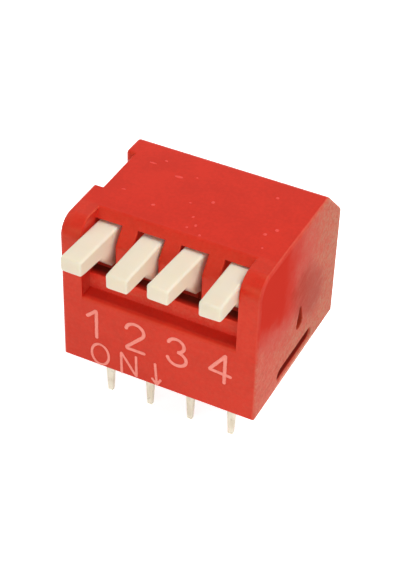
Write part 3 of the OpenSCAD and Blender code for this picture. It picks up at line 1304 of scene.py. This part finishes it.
@dataclass
class Legend:
    """The numbers of the ways, and ON with its arrow, printed on the front of the cover."""

    digit_pen: float = 0.215 * MM
    word_pen: float = 0.165 * MM
    ink_height: float = 0.010 * MM
    ink_rise: float = 0.06
    digit_foot: float = 2.00 * MM
    digit_height: float = 1.86 * MM
    word_foot: float = 0.10 * MM
    word_height: float = 1.44 * MM
    digit_shift: float = -0.08 * MM
    o_shift: float = 0.29 * MM
    n_shift: float = -0.45 * MM
    arrow_shift: float = 1.21 * MM
    step: float = 0.05 * MM
    easing: int = 2
    wobble: float = 0.035
    first_seed: int = 40
    strokes: list[tuple[Points, float]] = field(default_factory=list)

    def add(self, path: Points, pen: float, origin: Pair, scale: float) -> None:
        """Adds one stroke of a figure.

        Args:
            path: Points in the figure's own frame, in which its height is 1.
            pen: The pen's width.
            origin: The figure's middle along X and its foot along Z.
            scale: The figure's height.
        """
        placed = np.array(origin) + path * scale
        self.strokes.append((evened(placed, self.step, self.easing), pen))

    def figures(self) -> dict[Way, list[Points]]:
        """The strokes of the four numbers, in a frame whose height is 1.

        Returns:
            Each number's strokes.
        """
        two_bowl = arc((0.0, 0.73), (0.29, 0.265), 172, -28)
        upper_bowl = arc((-0.03, 0.755), (0.255, 0.24), 165, -82)
        lower_bowl = arc((0.0, 0.265), (0.30, 0.255), 82, -172)
        return {
            Way.ONE: [line((-0.20, 0.72), (0.09, 1.0), (0.09, 0.0))],
            Way.TWO: [np.vstack([two_bowl, line((-0.27, 0.06), (-0.27, 0.0), (0.29, 0.0))])],
            Way.THREE: [np.vstack([upper_bowl, lower_bowl])],
            Way.FOUR: [line((0.14, 0.98), (-0.33, 0.34), (0.33, 0.29)),
                       line((0.16, 1.0), (0.15, 0.0))],
        }

    def lay_out(self) -> None:
        """Places the numbers under their ways and ON with its arrow under them."""
        middle = {way: sum(corner.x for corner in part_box(way.named("key"))) / 2 for way in Way}
        for way, paths in self.figures().items():
            place = (middle[way] + self.digit_shift, self.digit_foot)
            for path in paths:
                self.add(path, self.digit_pen, place, self.digit_height)
        shaft = middle[Way.TWO] + self.arrow_shift
        letters = (
            (arc((0.0, 0.5), (0.37, 0.5), 90, 450, 48), middle[Way.ONE] + self.o_shift),
            (line((-0.32, 0.0), (-0.34, 1.0), (0.32, 0.02), (0.30, 1.0)), middle[Way.TWO] + self.n_shift),
            (line((-0.04, 1.0), (0.04, 0.0)), shaft),
            (line((-0.15, 0.22), (0.04, 0.0), (0.19, 0.27)), shaft),
        )
        for path, place in letters:
            self.add(path, self.word_pen, (place, self.word_foot), self.word_height)

    def build(self) -> Object:
        """Makes the whole legend as one thin piece on the cover's front face.

        Returns:
            The legend.
        """
        self.lay_out()
        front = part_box("housing")[0].y
        parts = []
        for number, (path, pen) in enumerate(self.strokes):
            height = self.ink_height * (1.0 + self.ink_rise * number)
            points, faces = printed_stroke(path, pen, height, self.wobble, self.first_seed + number)
            points[:, 1] = front - points[:, 1]
            parts.append((points, faces))
        made = mesh_object("printed_legend", *merged(parts), LEGEND_PINK.build())
        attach(made, "case")
        LOG.info("%s: %d strokes", made.name, len(self.strokes))
        return made


# ---------------------------------------------------------------- specks


@dataclass(frozen=True)
class Speck:
    """One light speck on the roof: its place, length, width and turn."""

    x_mm: float
    y_mm: float
    length_mm: float
    width_mm: float
    turn_deg: float


@dataclass
class RoofSpecks:
    """Small raised specks on the cover's roof, in a paler pink, that catch the light."""

    height: float = 0.012 * MM
    rings: int = 4
    sides: int = 10
    specks: tuple[Speck, ...] = (
        Speck(-3.95, 1.4, 0.46, 0.13, 0), Speck(-3.4, 1.9, 0.20, 0.14, 0),
        Speck(-2.1, 0.9, 0.50, 0.20, 5), Speck(-4.2, -1.5, 0.24, 0.11, 15),
        Speck(-2.15, -2.0, 0.24, 0.18, 30), Speck(-0.5, -0.9, 0.14, 0.10, 0),
        Speck(0.55, -0.3, 0.20, 0.24, 0), Speck(3.4, 1.7, 0.20, 0.20, 0),
        Speck(0.65, -2.55, 0.15, 0.24, 15), Speck(0.2, -1.95, 0.18, 0.12, 60),
        Speck(1.2, -3.2, 0.15, 0.20, 20), Speck(4.55, -0.9, 0.22, 0.24, 0),
        Speck(4.15, -1.5, 0.22, 0.20, 45), Speck(0.3, -2.9, 0.14, 0.16, 0),
        Speck(4.5, -2.6, 0.12, 0.16, 0), Speck(-1.2, 1.3, 0.12, 0.10, 0),
    )

    def shape(self, speck: Speck, level: float) -> tuple[Points, Faces]:
        """A speck as the upper half of a flat ellipsoid, closed below.

        On a grid of rings t and angles a, a point lies at the speck's half length times
        cos t cos a, its half width times cos t sin a and its height times sin t, turned
        about the vertical by the speck's own angle.

        Args:
            speck: The speck.
            level: The roof's height.

        Returns:
            The points and the faces.
        """
        t, a = np.meshgrid(np.linspace(0.0, np.pi / 2, self.rings),
                           np.linspace(0, 2 * np.pi, self.sides + 1)[:-1], indexing="ij")
        u = 0.5 * speck.length_mm * MM * np.cos(t) * np.cos(a)
        v = 0.5 * speck.width_mm * MM * np.cos(t) * np.sin(a)
        turn = math.radians(speck.turn_deg)
        x = speck.x_mm * MM + u * math.cos(turn) - v * math.sin(turn)
        y = speck.y_mm * MM + u * math.sin(turn) + v * math.cos(turn)
        dome = np.stack([x, y, level + self.height * np.sin(t)], axis=-1)
        foot = np.broadcast_to([speck.x_mm * MM, speck.y_mm * MM, level], (1, self.sides, 3))
        points = np.concatenate([foot, dome], axis=0).reshape(-1, 3)
        return points, grid_quads(self.rings + 1, self.sides)

    def build(self) -> Object:
        """Makes all the specks as one piece.

        Returns:
            The specks.
        """
        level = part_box("housing")[1].z
        shapes = [self.shape(speck, level) for speck in self.specks]
        made = mesh_object("roof_specks", *merged(shapes), SPECK_PINK.build())
        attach(made, "case")
        LOG.info("%s: %d specks", made.name, len(self.specks))
        return made


# ---------------------------------------------------------------- studio


@dataclass(frozen=True)
class Lamp:
    """A square soft lamp aimed at the object."""

    name: str
    azimuth_deg: float
    elevation_deg: float
    watts: float
    distance: float = 0.50
    size: float = 0.40

    def build(self, target: Vector) -> Object:
        """Makes the lamp.

        Args:
            target: The point that it faces.

        Returns:
            The lamp.
        """
        away = direction(self.azimuth_deg, self.elevation_deg)
        light = bpy.data.lights.new(self.name, "AREA")
        light.shape = "SQUARE"
        light.size = self.size
        light.energy = self.watts
        made = linked(self.name, light)
        made.location = target + away * self.distance
        made.rotation_euler = away.to_track_quat("Z", "Y").to_euler()
        return made


def direction(azimuth_deg: float, elevation_deg: float) -> Vector:
    """The way from the object to a viewer at that azimuth and elevation.

    Azimuth 0 stands in front, on -Y, and grows towards +X.

    Args:
        azimuth_deg: Angle round the object.
        elevation_deg: Angle above the horizon.

    Returns:
        A vector of length 1.
    """
    a, e = math.radians(azimuth_deg), math.radians(elevation_deg)
    return Vector((math.sin(a) * math.cos(e), -math.cos(a) * math.cos(e), math.sin(e)))


@dataclass
class Studio:
    """The floor, the lamps, the world and the camera."""

    floor_half: float = 1.5
    floor_white: float = 0.85
    floor_lift: float = 0.80
    sky: float = 0.04
    lamps: tuple[Lamp, ...] = (
        Lamp("lamp_rear", 140.0, 55.0, 1.93),
        Lamp("lamp_right_rear", 100.0, 50.0, 0.42),
        Lamp("lamp_front", -12.0, 12.0, 0.85),
        Lamp("lamp_front_right", 25.0, 10.0, 1.22),
        Lamp("lamp_left", -90.0, 35.0, 0.60),
    )

    def floor(self) -> Object:
        """Makes the pale floor that the pins stand on.

        Its light is seen by camera, glossy and transmitted rays only, which lifts it towards
        white, and it still takes the object's shadow.

        Returns:
            The floor.
        """
        h = self.floor_half
        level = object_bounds()[0].z
        mesh = bpy.data.meshes.new("floor")
        mesh.from_pydata([(-h, -h, level), (h, -h, level), (h, h, level), (-h, h, level)], [],
                         [(0, 1, 2, 3)])
        made = linked("floor", mesh)
        mesh.materials.append(bpy.data.materials.new("floor_white"))
        g = Graph(mesh.materials[0])
        matt = g.add("BsdfDiffuse", {"Color": (self.floor_white,) * 3})
        lift = g.add("Emission", {"Strength": g.times(g.seen_directly(), self.floor_lift)})
        both = g.add("AddShader", {0: matt.outputs[0], 1: lift.outputs[0]})
        g.fill(g.output, {"Surface": both.outputs[0]})
        made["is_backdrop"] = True
        return made

    def world(self) -> None:
        """Lights the scene evenly from all round, and shows white behind it."""
        world = bpy.data.worlds.new("studio")
        bpy.context.scene.world = world
        g = Graph(world, "OutputWorld")
        white = (1.0, 1.0, 1.0)
        soft = g.add("Background", {"Color": white, "Strength": self.sky})
        shown = g.add("Background", {"Color": white, "Strength": 1.0})
        mix = g.add("MixShader", {0: g.seen_directly(), 1: soft.outputs[0], 2: shown.outputs[0]})
        g.fill(g.output, {"Surface": mix.outputs[0]})

    def build(self) -> None:
        """Sets up the floor, the world, the lamps and the camera."""
        scene = bpy.context.scene
        scene.view_settings.view_transform = "Standard"
        self.floor()
        self.world()
        low, high = CAD_BOUNDS
        for lamp in self.lamps:
            lamp.build((low + high) / 2)
        Camera().build()


@dataclass
class Camera:
    """A long lens on the key side, above and to the right, rolled a little."""

    azimuth_deg: float = 25.55
    elevation_deg: float = 39.36
    roll_deg: float = 1.85
    lens_mm: float = 99.54
    sensor_mm: float = 36.0
    nearest: float = 0.002
    furthest: float = 20.0
    target: Triple = (0.0, 0.0, 4.0 * MM)
    distance: float = 87.36 * MM
    right: float = -0.211 * MM
    up: float = -0.652 * MM

    def build(self) -> Object:
        """Makes the camera and gives it to the scene.

        Its back vector comes from the azimuth and the elevation. Its right and up vectors
        are level and square to that, then turned together by the roll.

        Returns:
            The camera.
        """
        back = direction(self.azimuth_deg, self.elevation_deg)
        level = Vector((0.0, 0.0, 1.0)).cross(back).normalized()
        upright = back.cross(level)
        roll = math.radians(self.roll_deg)
        side = math.cos(roll) * level + math.sin(roll) * upright
        top = math.cos(roll) * upright - math.sin(roll) * level
        place = Vector(self.target) + back * self.distance + side * self.right + top * self.up
        lens = bpy.data.cameras.new("camera")
        lens.lens = self.lens_mm
        lens.sensor_width = self.sensor_mm
        lens.clip_start = self.nearest
        lens.clip_end = self.furthest
        made = linked("camera", lens)
        axes = [vector.to_4d() for vector in (side, top, back, place)]
        for axis in axes[:3]:
            axis.w = 0.0
        made.matrix_world = Matrix(axes).transposed()
        bpy.context.scene.camera = made
        return made


# ---------------------------------------------------------------- main


def main() -> None:
    """Builds the studio, then each sub-assembly, and reports the pieces."""
    logging.basicConfig(level=logging.INFO, format="%(name)s: %(message)s")
    Studio().build()
    Casing().build()
    Keys().build()
    Terminals().build()
    Legend().build()
    RoofSpecks().build()


if __name__ == "__main__":
    main()
